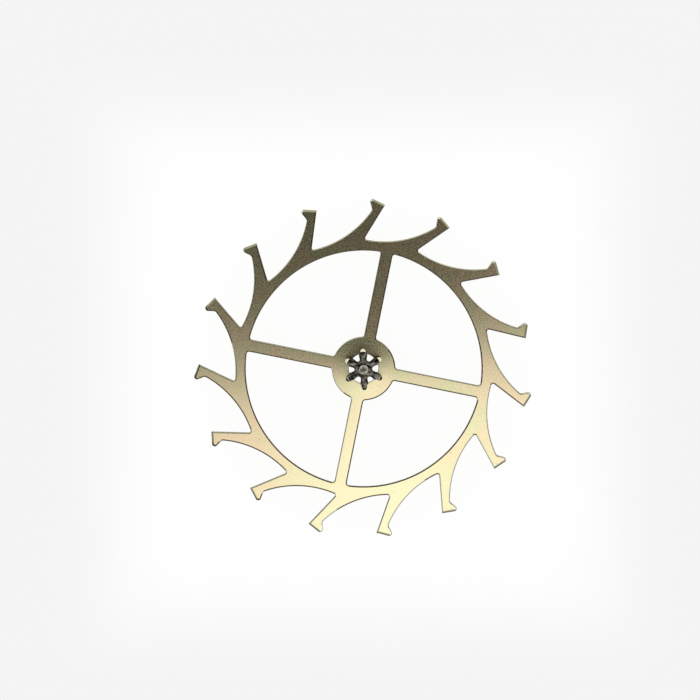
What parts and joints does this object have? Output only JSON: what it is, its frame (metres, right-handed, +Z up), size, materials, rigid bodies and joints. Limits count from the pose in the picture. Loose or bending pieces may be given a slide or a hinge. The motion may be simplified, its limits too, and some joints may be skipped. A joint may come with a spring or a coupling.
{
  "type": "watch escape wheel",
  "caption": "Club-toothed escape wheel with slim arms, riveted on a leaved pinion whose arbor ends in two fine pivots.",
  "frame": {"origin": "centre of the lower pivot's free end, on the arbor's axis", "axes": "+Z up the arbor to the upper pivot, on the pinion's side of the wheel; +X along one arm; the teeth lean and turn clockwise seen from +Z"},
  "size_m": [0.0079, 0.008, 0.0022],
  "materials": {
    "gilded_brass": "matt gilding with a fine grain, bevelled impulse faces",
    "polished_steel": "hardened and polished"
  },
  "bodies": {
    "root": {"escape_wheel": "gilded_brass", "escape_pinion": "polished_steel"}
  },
  "joints": []
}
